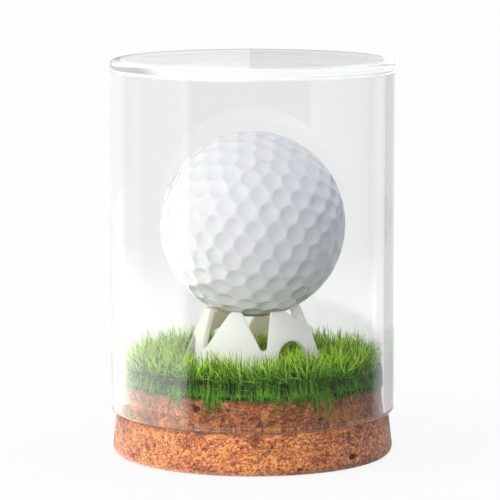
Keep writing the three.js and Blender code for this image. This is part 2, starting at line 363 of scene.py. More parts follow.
def dome_outline(dome):
    outer = DOME_HIGH.x
    inner = outer - dome.wall
    rim = dome.wall / 2
    top, ceiling = DOME_HIGH.z, DOME_HIGH.z - dome.top_thickness
    corner, shoulder = dome.ceiling_radius, dome.shoulder_radius
    return [
        (0, ceiling),
        (inner * 0.5, ceiling),
        *arc(inner - corner, ceiling - corner, corner, 90, 0, 12),
        (inner, (ceiling + DOME_LOW.z) / 2),
        *arc(inner + rim, DOME_LOW.z + rim, rim, 180, 360, 20),
        (outer, (top + DOME_LOW.z) / 2),
        *arc(outer - shoulder, top - shoulder, shoulder, 0, 90, 16),
        (outer * 0.5, top),
        (0, top),
    ]


def glass_material(dome):
    material, tree, shader = new_material(
        "clear_glass", Roughness=0.0, IOR=1.5, Transmission_Weight=1.0, Base_Color=(*dome.tint, 1.0)
    )
    place = object_place(tree, (1, 1, 0.35))
    bump(tree, shader, cloudy(tree, place, 60.0, 1.0), 0.06 * MM, 0.35)
    # Light that has been caught between the faces for long is let out
    caught = calc(tree, "GREATER_THAN", put(tree, "ShaderNodeLightPath").outputs["Glossy Depth"], 1.5)
    clear = put(tree, "ShaderNodeBsdfTransparent", {"Color": (*dome.tint, 1.0)})
    both = put(tree, "ShaderNodeMixShader", {0: caught, 1: shader.outputs[0], 2: clear.outputs[0]})
    tree.links.new(both.outputs[0], tree.nodes["Material Output"].inputs["Surface"])
    return material


def build_dome(dome):
    outline = refined(dome_outline(dome), 3 * MM, DOME_HIGH.x * 0.4)
    mesh = turned_mesh("glass_dome_clear", outline, dome.segments)
    add_piece(mesh, glass_material(dome), "dome", "glass", "glass_dome")


# Cork base

# Voids where a granule has fallen out: azimuth in degrees, height, width, rise and depth in millimetres
CORK_PITS = (
    (45, 2.9, 1.3, 0.8, 0.9),
    (19.5, 1.3, 0.8, 0.45, 0.6),
    (-24.3, 14.9, 0.9, 0.8, 0.8),
    (-44, 5.6, 0.35, 0.7, 0.35),
    (-57, 2.6, 0.5, 0.35, 0.4),
    (8, 6.6, 0.7, 0.3, 0.35),
    (58, 7.0, 0.5, 0.35, 0.4),
    (30, 12.4, 0.7, 0.35, 0.4),
    (96, 4.2, 1.0, 0.6, 0.6),
    (133, 6.8, 0.7, 0.5, 0.5),
    (171, 3.1, 0.9, 0.7, 0.7),
    (-162, 7.4, 0.6, 0.5, 0.5),
    (-118, 3.4, 1.1, 0.5, 0.6),
    (-92, 6.1, 0.6, 0.7, 0.5),
)


def cork_outline(cork):
    foot = CORK_HIGH.x
    ledge = foot - cork.taper
    plug = DOME_HIGH.x - bpy.context.scene.display_case.dome.wall - cork.plug_gap
    plug_top = plug - cork.plug_taper
    top = CORK_HIGH.z
    chamfer = cork.plug_chamfer
    return [
        (0, 0),
        (foot * 0.6, 0),
        (foot - cork.foot_round * 1.6, 0),
        *arc(foot - cork.foot_round, cork.foot_round, cork.foot_round, -90, 0, 14),
        *arc(ledge - cork.ledge_round, cork.ledge_height - cork.ledge_round, cork.ledge_round, 0, 90, 6),
        (plug, cork.ledge_height),
        (plug_top, top - chamfer),
        (plug_top - chamfer, top),
        (plug_top * 0.94, top),
        (plug_top * 0.5, top),
        (0, top),
    ]


def smoothstep(value):
    value = min(1.0, max(0.0, value))
    return value * value * (3 - 2 * value)


def wander(place):
    """A smooth vector at a place. noise.noise_vector differs from run to run, so it is not used."""
    offsets = (Vector((31.4, 0, 0)), Vector((0, 47.1, 0)), Vector((0, 0, 58.9)))
    return Vector([noise.noise(place + offset) for offset in offsets])


def cork_relief(point, cork):
    """How deep the surface lies at a point, and how dark it is painted there from 0 to 1: the cork's dark
    gaps, with painted shade in the sunk cracks, chips and pits.
    """
    place = point / cork.granule
    place.z *= 1.25
    place += 0.35 * wander(place * 1.7)
    (near, far, *_), (cell, *_) = noise.voronoi(place)
    gap = 1.0 - smoothstep((far - near) / 0.16)
    torn = smoothstep((noise.noise(place * 0.9 + Vector((7, 3, 1))) + 0.08) / 0.2)
    crack = gap * torn
    step = 0.5 + 0.5 * noise.cell(cell * 31.7)
    depth = 0.6 * cork.crack_depth * crack + 0.05 * MM * step
    fine = point / (0.55 * MM)
    (near, far, *_), _ = noise.voronoi(fine)
    chip = smoothstep((noise.noise(fine * 0.35) - 0.18) / 0.12) * smoothstep((0.5 - near) / 0.2)
    depth += 0.12 * MM * chip
    # Cracks and chips are painted dark: the cork's dark gaps, with painted shade in these hollows
    dark = max(crack * 0.5, chip)
    azimuth = math.degrees(math.atan2(point.x, -point.y))
    radius = math.hypot(point.x, point.y)
    for pit_azimuth, height, width, rise, pit_depth in CORK_PITS:
        turn_off = (azimuth - pit_azimuth + 180) % 360 - 180
        if abs(turn_off) > 6:
            continue
        across = math.radians(turn_off) * radius / (width * MM)
        up = (point.z - height * MM) / (rise * MM)
        ragged = 0.35 * noise.noise(point / (0.6 * MM))
        inside = smoothstep((1.15 - math.hypot(across, up) + ragged) / 0.45)
        depth = max(depth, pit_depth * MM * inside)
        # The pit is painted dark too: painted shade in its hollow
        dark = max(dark, inside)
    return depth, dark


def cork_material(cork):
    material, tree, shader = new_material(
        "pressed_cork", Roughness=0.6, Sheen_Weight=0.45, Sheen_Roughness=0.45, Specular_IOR_Level=0.5
    )
    place = object_place(tree, (1, 1, 1.25))
    warp = cloudy(tree, place, 480.0, 2.0, output="Color")
    place = vector_calc(tree, "ADD", place, vector_calc(tree, "MULTIPLY", warp, (0.0017, 0.0017, 0.0011)))
    cells = put(tree, "ShaderNodeTexVoronoi", {"Vector": place, "Scale": 1 / cork.granule})
    edges = {"Vector": place, "Scale": 1 / cork.granule}
    edges = put(tree, "ShaderNodeTexVoronoi", edges, feature="DISTANCE_TO_EDGE")
    grain = put(tree, "ShaderNodeTexVoronoi", {"Vector": place, "Scale": 3.1 / cork.granule})
    tone = put(tree, "ShaderNodeSeparateColor", {"Color": cells.outputs["Color"]})
    fine_tone = put(tree, "ShaderNodeSeparateColor", {"Color": grain.outputs["Color"]})
    fine_share = calc(tree, "MULTIPLY", fine_tone.outputs[0], 0.38)
    shade = calc(tree, "MULTIPLY_ADD", tone.outputs[0], 0.62, fine_share)
    dark, middle, light = tuple(cork.dark), tuple(cork.middle), tuple(cork.light)
    mottle = ranged(tree, cloudy(tree, object_place(tree, (1, 1, 1.6)), 900.0, 4.0, 0.7), 0.34, 0.66)
    shade = calc(tree, "MULTIPLY_ADD", mottle, 0.5, calc(tree, "MULTIPLY", shade, 0.5))
    base = ramp(tree, shade, [(0.27, dark), (0.43, middle), (0.56, middle), (0.74, light)])
    patches = ranged(tree, cloudy(tree, place, 130.0, 3.0), 0.42, 0.62)
    base = mixed(tree, calc(tree, "MULTIPLY", patches, 0.4), base, light)
    streaks = cloudy(tree, object_place(tree, (1, 1, 2.6)), 1500.0, 3.0, 0.6)
    upright = cloudy(tree, object_place(tree, (2.2, 2.2, 0.9)), 1300.0, 3.0, 0.6)
    flecks = calc(tree, "MAXIMUM", ranged(tree, streaks, 0.54, 0.6), ranged(tree, upright, 0.58, 0.64))
    seams = ranged(tree, edges.outputs["Distance"], 0.075, 0.0)
    broken = ranged(tree, cloudy(tree, place, 650.0, 2.0), 0.46, 0.56)
    lines = calc(tree, "MULTIPLY", seams, broken)
    dark_gaps_and_shade = calc(tree, "MAXIMUM", calc(tree, "MULTIPLY", flecks, 0.9), calc(tree, "MULTIPLY", lines, 0.3))
    # The crack attribute paints the sunk cracks, chips and pits dark: partly dark gaps in the cork, partly
    # painted shade in the hollows
    dark_gaps_and_shade = calc(tree, "MAXIMUM", dark_gaps_and_shade, attribute(tree, "crack"))
    paint(tree, shader, mixed(tree, dark_gaps_and_shade, base, tuple(cork.crack)))
    height = calc(tree, "SUBTRACT", calc(tree, "MULTIPLY", streaks, 0.5), dark_gaps_and_shade)
    bump(tree, shader, height, 0.12 * MM, 0.8)
    return material


def build_cork(cork):
    outline = refined(cork_outline(cork), 0.24 * MM, CORK_HIGH.x * 0.86)
    mesh = turned_mesh("cork_base_grained", outline, 840)
    normals = [vertex.normal.copy() for vertex in mesh.vertices]
    gap_tone_and_shade = []
    for vertex, normal in zip(mesh.vertices, normals):
        point = vertex.co.copy()
        seen = smoothstep((math.hypot(point.x, point.y) / MM - 27.5) / 0.8)
        seen *= smoothstep(point.z / (0.9 * MM)) if normal.z < -0.5 else 1.0
        depth, dark = cork_relief(point, cork) if seen else (0.0, 0.0)
        vertex.co = point - normal * depth * seen
        gap_tone_and_shade.append(dark * seen)
    # The crack attribute holds painted darkness: the cork's dark gaps, with painted shade in the sunk
    # hollows
    layer = mesh.attributes.new("crack", "FLOAT", "POINT")
    layer.data.foreach_set("value", gap_tone_and_shade)
    add_piece(mesh, cork_material(cork), "base", "cork", "cork_base")


# Lawn


def new_tree(name, inputs):
    """A geometry tree with named inputs. Returns it, its input node and the identifiers of its inputs."""
    tree = bpy.data.node_groups.new(name, "GeometryNodeTree")
    tree.interface.new_socket("Geometry", in_out="OUTPUT", socket_type="NodeSocketGeometry")
    names = {}
    for label, kind in inputs:
        socket = tree.interface.new_socket(label, in_out="INPUT", socket_type="NodeSocket" + kind)
        names[label] = socket.identifier
    return tree, put(tree, "NodeGroupInput"), names


def apply_tree(source, tree, names, values):
    """Runs a geometry tree on an object and returns the object with its modifier set."""
    modifier = source.modifiers.new(tree.name, "NODES")
    modifier.node_group = tree
    for label, value in values.items():
        modifier[names[label]] = value
    return source


def swept_blades(tree, curves, width, material):
    """Gives each path a thin three-sided blade that narrows to its tip."""
    along = put(tree, "GeometryNodeInputNamedAttribute", {"Name": "along"}).outputs["Attribute"]
    chance = put(tree, "GeometryNodeInputNamedAttribute", {"Name": "chance"}).outputs["Attribute"]
    turns = calc(tree, "MULTIPLY", chance, 37.0)
    tilted = put(tree, "GeometryNodeSetCurveTilt", {"Curve": curves, "Tilt": turns})
    taper = ranged(tree, along, 0.25, 1.0, 1.0, 0.14)
    circle = put(tree, "GeometryNodeCurvePrimitiveCircle", {"Resolution": 3, "Radius": 0.5})
    flat = {"Geometry": circle.outputs["Curve"], "Scale": (1.0, 0.34, 1.0)}
    flat = put(tree, "GeometryNodeTransform", flat)
    scale = calc(tree, "MULTIPLY", taper, width)
    inputs = {
        "Curve": tilted.outputs["Curve"],
        "Profile Curve": flat.outputs["Geometry"],
        "Scale": scale,
        "Fill Caps": True,
    }
    swept = put(tree, "GeometryNodeCurveToMesh", inputs)
    solid = put(tree, "GeometryNodeRealizeInstances", {"Geometry": swept.outputs["Mesh"]})
    dressed = {"Geometry": solid.outputs["Geometry"], "Material": material}
    dressed = put(tree, "GeometryNodeSetMaterial", dressed)
    put(tree, "NodeGroupOutput", {"Geometry": dressed.outputs["Geometry"]})


def stored(tree, geometry, name, value, kind="FLOAT"):
    inputs = {"Geometry": geometry, "Name": name, "Value": value}
    made = put(tree, "GeometryNodeStoreNamedAttribute", inputs, data_type=kind, domain="POINT")
    return made.outputs["Geometry"]


def read(tree, name, kind="FLOAT"):
    return put(tree, "GeometryNodeInputNamedAttribute", {"Name": name}, data_type=kind).outputs["Attribute"]


LAWN_INPUTS = (
    ("Ground", "Geometry"),
    ("Density", "Float"),
    ("Height", "Float"),
    ("Height Spread", "Float"),
    ("Width", "Float"),
    ("Lean", "Float"),
    ("Seed", "Int"),
    ("Stand Foot Radius", "Float"),
    ("Stand Wall", "Float"),
    ("Stand Slope", "Float"),
    ("Glass Radius", "Float"),
    ("Material", "Material"),
)


def lawn_tree():
    """Plants blades over the ground, bends them, and keeps them off the stand and the glass."""
    tree, given, names = new_tree("planted_blades", LAWN_INPUTS)
    given = given.outputs
    planting = read(tree, "planting")
    density = calc(tree, "MULTIPLY", planting, given["Density"])
    seeds = {"Mesh": given["Ground"], "Density": density, "Seed": given["Seed"]}
    points = put(tree, "GeometryNodeDistributePointsOnFaces", seeds).outputs["Points"]
    spot = put(tree, "GeometryNodeInputPosition").outputs[0]
    points = stored(tree, points, "root", spot, "FLOAT_VECTOR")
    random = {0: (-1, -1, -1), 1: (1, 1, 1), "Seed": given["Seed"]}
    random = put(tree, "FunctionNodeRandomValue", random, data_type="FLOAT_VECTOR")
    points = stored(tree, points, "sway", random.outputs[0], "FLOAT_VECTOR")
    chances = {"Seed": calc(tree, "ADD", given["Seed"], 5.0)}
    chances = put(tree, "FunctionNodeRandomValue", chances, data_type="FLOAT")
    points = stored(tree, points, "chance", chances.outputs[1])
    line = put(tree, "GeometryNodeCurvePrimitiveLine", {"End": (0.0, 0.0, 1.0)})
    line = put(tree, "GeometryNodeResampleCurve", {"Curve": line.outputs["Curve"], "Count": 4})
    placed = {"Points": points, "Instance": line.outputs["Curve"]}
    placed = put(tree, "GeometryNodeInstanceOnPoints", placed).outputs["Instances"]
    paths = put(tree, "GeometryNodeRealizeInstances", {"Geometry": placed}).outputs["Geometry"]
    factor = put(tree, "GeometryNodeSplineParameter").outputs["Factor"]
    paths = stored(tree, paths, "along", factor)
    for shaped in (bent, kept_clear):
        paths = put(tree, "GeometryNodeSetPosition", {"Geometry": paths, "Position": shaped(tree, given)})
        paths = paths.outputs["Geometry"]
    swept_blades(tree, paths, given["Width"], given["Material"])
    return tree, names


def bent(tree, given):
    """Where a blade's point lies: it leans with its neighbours and by itself, and droops as it leans."""
    root, sway = read(tree, "root", "FLOAT_VECTOR"), read(tree, "sway", "FLOAT_VECTOR")
    along, chance = read(tree, "along"), read(tree, "chance")
    flow = cloudy(tree, root, 150.0, 1.0, output="Color")
    flow = vector_calc(tree, "SUBTRACT", flow, (0.5, 0.5, 0.5))
    flow = vector_calc(tree, "MULTIPLY", flow, (4.0, 4.0, 0.0))
    strong = calc(tree, "MULTIPLY_ADD", calc(tree, "POWER", chance, 3.0), 1.7, 0.45)
    own = scaled(tree, sway, strong)
    lean = vector_calc(tree, "MULTIPLY", vector_calc(tree, "ADD", flow, own), (1.0, 1.0, 0.0))
    lean = scaled(tree, lean, given["Lean"])
    size = vector_calc(tree, "LENGTH", lean)
    upward = parts_of(tree, sway)[2]
    tall = calc(tree, "MULTIPLY_ADD", upward, given["Height Spread"], given["Height"])
    squared = calc(tree, "MULTIPLY", along, along)
    reach = calc(tree, "MULTIPLY_ADD", squared, 0.65, calc(tree, "MULTIPLY", along, 0.35))
    reach = calc(tree, "MULTIPLY", tall, reach)
    side = scaled(tree, lean, reach)
    droop = calc(tree, "MULTIPLY", squared, size)
    droop = calc(tree, "MULTIPLY", droop, calc(tree, "MULTIPLY", size, 0.45))
    rise = calc(tree, "MULTIPLY", tall, calc(tree, "SUBTRACT", along, calc(tree, "MINIMUM", droop, 0.6)))
    up = put(tree, "ShaderNodeCombineXYZ", {2: rise}).outputs[0]
    return vector_calc(tree, "ADD", root, vector_calc(tree, "ADD", side, up))


def kept_clear(tree, given):
    """Moves a blade's point along its radius, to keep it off the stand's wall and inside the glass."""
    spot = put(tree, "GeometryNodeInputPosition").outputs[0]
    root = read(tree, "root", "FLOAT_VECTOR")
    part = parts_of(tree, spot)
    radius = vector_calc(tree, "LENGTH", vector_calc(tree, "MULTIPLY", spot, (1, 1, 0)))
    root_radius = vector_calc(tree, "LENGTH", vector_calc(tree, "MULTIPLY", root, (1, 1, 0)))
    height = calc(tree, "SUBTRACT", part[2], parts_of(tree, root)[2])
    narrowing = calc(tree, "MULTIPLY", height, given["Stand Slope"])
    outer = calc(tree, "SUBTRACT", given["Stand Foot Radius"], narrowing)
    inner = calc(tree, "SUBTRACT", outer, given["Stand Wall"])
    room = calc(tree, "MULTIPLY", given["Width"], 0.6)
    pushed_out = calc(tree, "MAXIMUM", radius, calc(tree, "ADD", outer, room))
    pulled_in = calc(tree, "MINIMUM", radius, calc(tree, "SUBTRACT", inner, room))
    outside = calc(tree, "GREATER_THAN", root_radius, given["Stand Foot Radius"])
    foot_inside = calc(tree, "SUBTRACT", given["Stand Foot Radius"], given["Stand Wall"])
    inside = calc(tree, "LESS_THAN", root_radius, foot_inside)
    kept = put(tree, "ShaderNodeMix", {0: outside, 2: radius, 3: pushed_out}).outputs[0]
    kept = put(tree, "ShaderNodeMix", {0: inside, 2: kept, 3: pulled_in}).outputs[0]
    kept = calc(tree, "MINIMUM", kept, given["Glass Radius"])
    ratio = calc(tree, "DIVIDE", kept, calc(tree, "MAXIMUM", radius, 1e-6))
    moved = put(tree, "ShaderNodeCombineXYZ", {0: ratio, 1: ratio, 2: 1.0}).outputs[0]
    return vector_calc(tree, "MULTIPLY", spot, moved)


# Azimuths of the arches in the stand's foot, in degrees from the front towards +X
ARCH_AZIMUTHS = (-80, 40, 100, 220)


def stand_foot(stand):
    """Outer radius of the stand where it meets the cloth."""
    return stand.top_radius + (STAND_HIGH.z - STAND_LOW.z) * math.tan(stand.flare)


def may_plant(x, y, stand):
    """True where a blade may stand: not under the stand's wall, but in its arches."""
    radius, foot = math.hypot(x, y), stand_foot(stand)
    room = 0.15 * MM
    if radius > foot + room or radius < foot - stand.wall - room:
        return True
    for azimuth in ARCH_AZIMUTHS:
        s, c = math.sin(math.radians(azimuth)), math.cos(math.radians(azimuth))
        if x * s - y * c > 0 and abs(x * c + y * s) < stand.arch_width / 2 - 0.9 * MM:
            return True
    return False


def planting_ground(stand, height, radius):
    """A fine disc that says where blades may stand."""
    rings, segments = 96, 300
    points = []
    for ring in range(rings + 1):
        for i in range(segments):
            a = 2 * math.pi * i / segments
            r = radius * ring / rings
            points.append((r * math.sin(a), -r * math.cos(a), height))
    faces = []
    for ring in range(rings):
        low, high = ring * segments, (ring + 1) * segments
        for i in range(segments):
            j = (i + 1) % segments
            faces.append((low + i, high + i, high + j, low + j))
    mesh = bpy.data.meshes.new("planting_ground")
    mesh.from_pydata(points, [], faces)
    layer = mesh.attributes.new("planting", "FLOAT", "POINT")
    layer.data.foreach_set("value", [float(may_plant(x, y, stand)) for x, y, _ in points])
    return mesh


def blade_material(name, lawn, tip_tone, bright, root=None):
    material, tree, shader = new_material(name, Roughness=0.5, Specular_IOR_Level=0.22)
    along, chance = attribute(tree, "along"), attribute(tree, "chance")
    root, stem = root or tuple(lawn.root), tuple(lawn.stem)
    # Near-black roots rising to stem and tip colours: painted shade low among the blades
    tone = ramp(tree, along, [(0.0, root), (0.2, root), (0.55, stem), (0.88, tip_tone)])
    dry = ranged(tree, chance, 0.86, 1.0)
    tone = mixed(tree, calc(tree, "MULTIPLY", dry, 0.45), tone, (0.58, 0.70, 0.12))
    patch = cloudy(tree, object_place(tree), 170.0, 2.0)
    value = ranged(tree, patch, 0.3, 0.7, bright * 0.78, bright * 1.2)
    own = calc(tree, "MULTIPLY_ADD", calc(tree, "FRACT", calc(tree, "MULTIPLY", chance, 13.7)), 1.8, 0.2)
    value = calc(tree, "MULTIPLY", value, own)
    tone = put(tree, "ShaderNodeHueSaturation", {"Color": tone, "Value": value})
    paint(tree, shader, tone.outputs["Color"])
    ribs = put(tree, "ShaderNodeTexWave", {"Vector": object_place(tree, (1, 1, 0.2)), "Scale": 2400.0})
    bump(tree, shader, ribs.outputs["Fac"], 0.02 * MM, 0.4)
    return material


def path_mesh(name, paths):
    """Paths of points as a mesh of edges. Each point knows how far along it is, and its path's luck."""
    points, edges, along, chance = [], [], [], []
    for path, luck in paths:
        first = len(points)
        points += path
        edges += [(first + i, first + i + 1) for i in range(len(path) - 1)]
        along += [i / (len(path) - 1) for i in range(len(path))]
        chance += [luck] * len(path)
    mesh = bpy.data.meshes.new(name)
    mesh.from_pydata(points, edges, [])
    for label, values in (("along", along), ("chance", chance)):
        mesh.attributes.new(label, "FLOAT", "POINT").data.foreach_set("value", values)
    return mesh


def path_tree():
    """Sweeps a blade along every path of edges."""
    inputs = (("Paths", "Geometry"), ("Width", "Float"), ("Material", "Material"))
    tree, given, names = new_tree("blades_on_paths", inputs)
    curves = put(tree, "GeometryNodeMeshToCurve", {"Mesh": given.outputs["Paths"]}).outputs["Curve"]
    swept_blades(tree, curves, given.outputs["Width"], given.outputs["Material"])
    return tree, names


# Blades that hang over the cloth's edge: azimuth from and to in degrees, how many, and their reach
# downwards in millimetres
FRINGES = (
    (-21, -14, 60, 6.0),
    (-39, -30, 30, 5.8),
    (0, 36, 170, 6.4),
    (-58, 75, 130, 3.0),
    (75, 302, 240, 3.2),
    (36, 62, 60, 4.4),
    (-180, 180, 1500, 2.8),
)


def hanging_paths(random):
    """Blades that bend over the cloth's edge and hang between the cork and the glass."""
    top, edge = BACKING_HIGH.z + 1.1 * MM, BACKING_HIGH.x
    against_glass = DOME_HIGH.x - 2.6 * MM
    paths = []
    for low, high, number, reach in FRINGES:
        for _ in range(number):
            azimuth = random.uniform(low, high)
            clump = 0.5 + noise.noise(Vector((azimuth / 5.0, reach, 0.0)))
            drop = reach * MM * (0.3 + 0.7 * random.random()) * min(1.15, max(0.35, 0.45 + clump))
            drift = random.normal(0, 2.0)
            start = edge - random.uniform(0.2, 1.6) * MM
            stations = (
                (start, top, 0.0),
                (start * 0.35 + against_glass * 0.65, top + random.uniform(0.4, 2.8) * MM, 0.15),
                (against_glass - 0.12 * MM, top - drop * 0.3, 0.4),
                (against_glass - random.uniform(0.06, 0.16) * MM, top - drop * 0.65, 0.7),
                (against_glass - random.uniform(0.05, 0.2) * MM, top - drop, 1.0),
            )
            path = []
            for radius, height, part in stations:
                a = math.radians(azimuth + drift * part)
                path.append((radius * math.sin(a), -radius * math.cos(a), height))
            paths.append((path, random.random()))
    return paths


STRAY_BLADES = 420


def stray_paths(random):
    """Long pale blades that lie across the lawn near its edge."""
    paths = []
    while len(paths) < STRAY_BLADES:
        azimuth = random.uniform(0, 360)
        radius = random.uniform(20.5, 29.0) * MM
        heading = math.radians(azimuth + random.choice((-1, 1)) * random.uniform(50, 110))
        long = random.uniform(4.0, 8.5) * MM
        low = random.uniform(0.4, 3.6) * MM
        a = math.radians(azimuth)
        x, y = radius * math.sin(a), -radius * math.cos(a)
        path = []
        for step in range(6):
            t = step / 5
            bend = heading + 0.5 * t * (random.random() - 0.5)
            px, py = x + long * t * math.sin(bend), y - long * t * math.cos(bend)
            path.append((px, py, CLOTH_TOP + low * (0.2 + 1.5 * t * (1.6 - t)) + 0.3 * MM))
        ends = [math.hypot(px, py) for px, py, _ in path]
        if max(ends) < 30.0 * MM and min(ends) > 18.6 * MM:
            paths.append((path, random.random()))
    return paths


def build_lawn(lawn, stand):
    low, high, edge = BACKING_HIGH.z, CLOTH_TOP, BACKING_HIGH.x
    outline = [(0, low), (edge * 0.8, low), (edge - 0.1 * MM, low), (edge, low + 0.25 * MM)]
    outline += [(edge, high - 0.25 * MM), (edge - 0.2 * MM, high), (0, high)]
    cloth_mesh = turned_mesh("lawn_cloth", refined(outline, 0.3 * MM, edge * 0.9), 420)
    for vertex in cloth_mesh.vertices:
        if vertex.co.xy.length > edge * 0.9:
            pull = 0.22 * MM * (0.5 + 0.5 * noise.noise(vertex.co / (1.1 * MM)))
            vertex.co.xy *= 1 - pull / vertex.co.xy.length
    add_piece(cloth_mesh, cloth_material(lawn), "base", "turf", "turf_pile")

    tree, names = lawn_tree()
    layers = (
        ("lawn_blades_tall", lawn.density, lawn.height, 0.13, 1.0, 1.0, 0),
        # The short blades are painted at 0.55 of the tall blades' brightness: painted shade under the tall
        # blades
        ("lawn_blades_short", lawn.undergrowth, lawn.height * 0.66, 0.22, 1.5, 0.55, 40),
    )
    for name, density, height, spread, lean, bright, seed in layers:
        ground = planting_ground(stand, CLOTH_TOP - 0.3 * MM, edge - 0.15 * MM)
        source = bpy.data.objects.new(name, ground)
        bpy.context.scene.collection.objects.link(source)
        material = blade_material(name + "_green", lawn, tuple(lawn.tip), bright)
        values = {
            "Density": density * 10000.0,
            "Height": height,
            "Height Spread": height * spread,
            "Width": lawn.width,
            "Lean": lawn.lean * lean,
            "Seed": lawn.seed + seed,
            "Stand Foot Radius": stand_foot(stand),
            "Stand Wall": stand.wall,
            "Stand Slope": math.tan(stand.flare),
            "Glass Radius": DOME_HIGH.x - 2.7 * MM,
            "Material": material,
        }
        mesh = evaluated_mesh(name, apply_tree(source, tree, names, values))
        bpy.data.meshes.remove(ground)
        add_piece(mesh, material, "base", "turf")

    random = np.random.default_rng(lawn.seed)
    tree, names = path_tree()
    pale = (0.55, 0.74, 0.16)
    shaded = tuple(0.5 * part for part in lawn.stem)
    for name, paths, tip, bright, width, root in (
        ("lawn_fringe", hanging_paths(random), tuple(lawn.stem), 0.75, 0.3, shaded),
        ("lawn_stray_blades", stray_paths(random), pale, 1.5, 0.27, None),
    ):
        lines = path_mesh(name + "_paths", paths)
        source = bpy.data.objects.new(name, lines)
        bpy.context.scene.collection.objects.link(source)
        material = blade_material(name + "_green", lawn, tip, bright, root)
        values = {"Width": width * MM, "Material": material}
        mesh = evaluated_mesh(name, apply_tree(source, tree, names, values))
        bpy.data.meshes.remove(lines)
        add_piece(mesh, material, "base", "turf")


def cloth_material(lawn):
    material, tree, shader = new_material("tufted_cloth", Roughness=0.85, Specular_IOR_Level=0.2)
    place = object_place(tree)
    weave = put(tree, "ShaderNodeTexVoronoi", {"Vector": place, "Scale": 1700.0})
    tone = ramp(tree, weave.outputs["Distance"], [(0.0, tuple(lawn.stem)), (0.6, tuple(lawn.root))])
    edge = ranged(tree, parts_of(tree, place)[2], 17.9 * MM, 18.4 * MM)
    paint(tree, shader, mixed(tree, edge, (0.16, 0.30, 0.07), tone))
    bump(tree, shader, weave.outputs["Distance"], 0.1 * MM, 0.8)
    return material


# Ball stand


def plastic_material(stand):
    material, tree, shader = new_material(
        "white_moulding",
        Roughness=0.36,
        Subsurface_Weight=1.0,
        Subsurface_Scale=1.8 * MM,
        Subsurface_Radius=(1.0, 0.85, 0.65),
        Coat_Weight=0.12,
        Coat_Roughness=0.2,
        Emission_Color=(1.0, 0.9, 0.68, 1.0),
        Emission_Strength=0.15,
    )
    # Painted light: a faint warm glow that stands in for light that the thin walls of this plastic let
    # through, and brightens the shaded inner faces
    place = object_place(tree)
    drift = cloudy(tree, place, 240.0, 2.0)
    low = tuple(0.955 * part for part in stand.plastic)
    paint(tree, shader, mixed(tree, ranged(tree, drift, 0.35, 0.65), low, tuple(stand.plastic)))
    bump(tree, shader, cloudy(tree, place, 1900.0, 2.0), 0.03 * MM, 0.25)
    return material


def build_stand(stand):
    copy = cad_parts["ball_stand"].data.copy()
    source = bpy.data.objects.new("stand_source", copy)
    bpy.context.scene.collection.objects.link(source)
    weld = source.modifiers.new("weld", "WELD")
    weld.merge_threshold = 0.001 * MM
    remesh = source.modifiers.new("even_faces", "REMESH")
    remesh.mode = "VOXEL"
    remesh.voxel_size = stand.rounding
    soften = source.modifiers.new("rounded_edges", "SMOOTH")
    soften.factor = 0.5
    soften.iterations = 7
    mesh = evaluated_mesh("ball_stand_moulded", source)
    bpy.data.meshes.remove(copy)
    mesh.shade_smooth()
    add_piece(mesh, plastic_material(stand), "base", "stand", "ball_stand")


# Golf ball

LATTICE_ALONG, LATTICE_ACROSS = 5, 1
GOLDEN = (1 + math.sqrt(5)) / 2
ICOSAHEDRON_CORNERS = (
    (-1, GOLDEN, 0), (1, GOLDEN, 0), (-1, -GOLDEN, 0), (1, -GOLDEN, 0),
    (0, -1, GOLDEN), (0, 1, GOLDEN), (0, -1, -GOLDEN), (0, 1, -GOLDEN),
    (GOLDEN, 0, -1), (GOLDEN, 0, 1), (-GOLDEN, 0, -1), (-GOLDEN, 0, 1),
)
ICOSAHEDRON_FACES = (
    (0, 11, 5), (0, 5, 1), (0, 1, 7), (0, 7, 10), (0, 10, 11),
    (1, 5, 9), (5, 11, 4), (11, 10, 2), (10, 7, 6), (7, 1, 8),
    (3, 9, 4), (3, 4, 2), (3, 2, 6), (3, 6, 8), (3, 8, 9),
    (4, 9, 5), (2, 4, 11), (6, 2, 10), (8, 6, 7), (9, 8, 1),
)


def dimple_centres():
    """A skew triangular lattice over the faces of an icosahedron, as unit vectors."""
    edge_angle = math.atan(2)
    total = LATTICE_ALONG**2 + LATTICE_ALONG * LATTICE_ACROSS + LATTICE_ACROSS**2
    reach = LATTICE_ALONG + LATTICE_ACROSS
    centres = []
    for face in ICOSAHEDRON_FACES:
        a, b, c = (Vector(ICOSAHEDRON_CORNERS[corner]).normalized() for corner in face)
        for i in range(-reach, reach + 1):
            for j in range(2 * reach + 1):
                to_b = (i * reach + j * LATTICE_ACROSS) / total
                to_c = (j * LATTICE_ALONG - i * LATTICE_ACROSS) / total
                if to_b < 0 or to_c < 0 or to_b + to_c > 1:
                    continue
                weights = (1 - to_b - to_c, to_b, to_c)
                pulls = (v * math.sin(w * edge_angle) for v, w in zip((a, b, c), weights))
                centre = sum(pulls, Vector((0, 0, 0)))
                centre.normalize()
                if all((other - centre).length > 1e-4 for other in centres):
                    centres.append(centre)
    return centres


def neighbours_in_order(centre, centres):
    """The dimples that touch one dimple, in order round it."""
    spacing = math.sqrt(8 * math.pi / (math.sqrt(3) * len(centres)))
    near = [other for other in centres if 1e-6 < (other - centre).length < math.sqrt(2) * spacing]
    along = (near[0] - centre * near[0].dot(centre)).normalized()
    across = centre.cross(along)
    return sorted(near, key=lambda other: math.atan2(other.dot(across), other.dot(along)))


# Where the rings of a dimple's cell lie, as shares of the way to its nearest side: closest at the rim
RING_SHARES = (0.22, 0.42, 0.60, 0.74, 0.82, 0.87, 0.905, 0.935, 0.965, 1.0)


